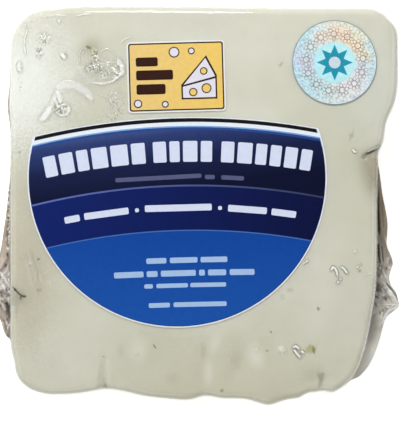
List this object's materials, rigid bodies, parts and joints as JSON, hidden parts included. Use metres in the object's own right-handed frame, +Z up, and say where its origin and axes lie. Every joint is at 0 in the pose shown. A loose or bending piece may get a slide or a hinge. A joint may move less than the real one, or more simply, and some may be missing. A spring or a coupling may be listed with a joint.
{
  "type": "blue cheese",
  "caption": "Square slab of creamy blue cheese shrink-wrapped in clear film gathered at both sides, with a round-bottomed label, a small upper label and a round foil seal.",
  "frame": {"origin": "middle of the pack's box, on the surface that the pack lies on", "axes": "+Z up out of the labelled face, +X to the right and +Y to the top edge as the labels read"},
  "size_m": [0.105, 0.1034, 0.0266],
  "materials": {
    "wrapped_cheese": "cream cheese seen through glossy clear film",
    "main_print": "coated paper in navy and blue",
    "upper_print": "coated paper in warm yellow",
    "seal_foil": "pale iridescent foil"
  },
  "bodies": {
    "root": {"cheese_pack": "wrapped_cheese", "main_label": "main_print", "upper_label": "upper_print", "round_seal": "seal_foil"}
  },
  "joints": []
}
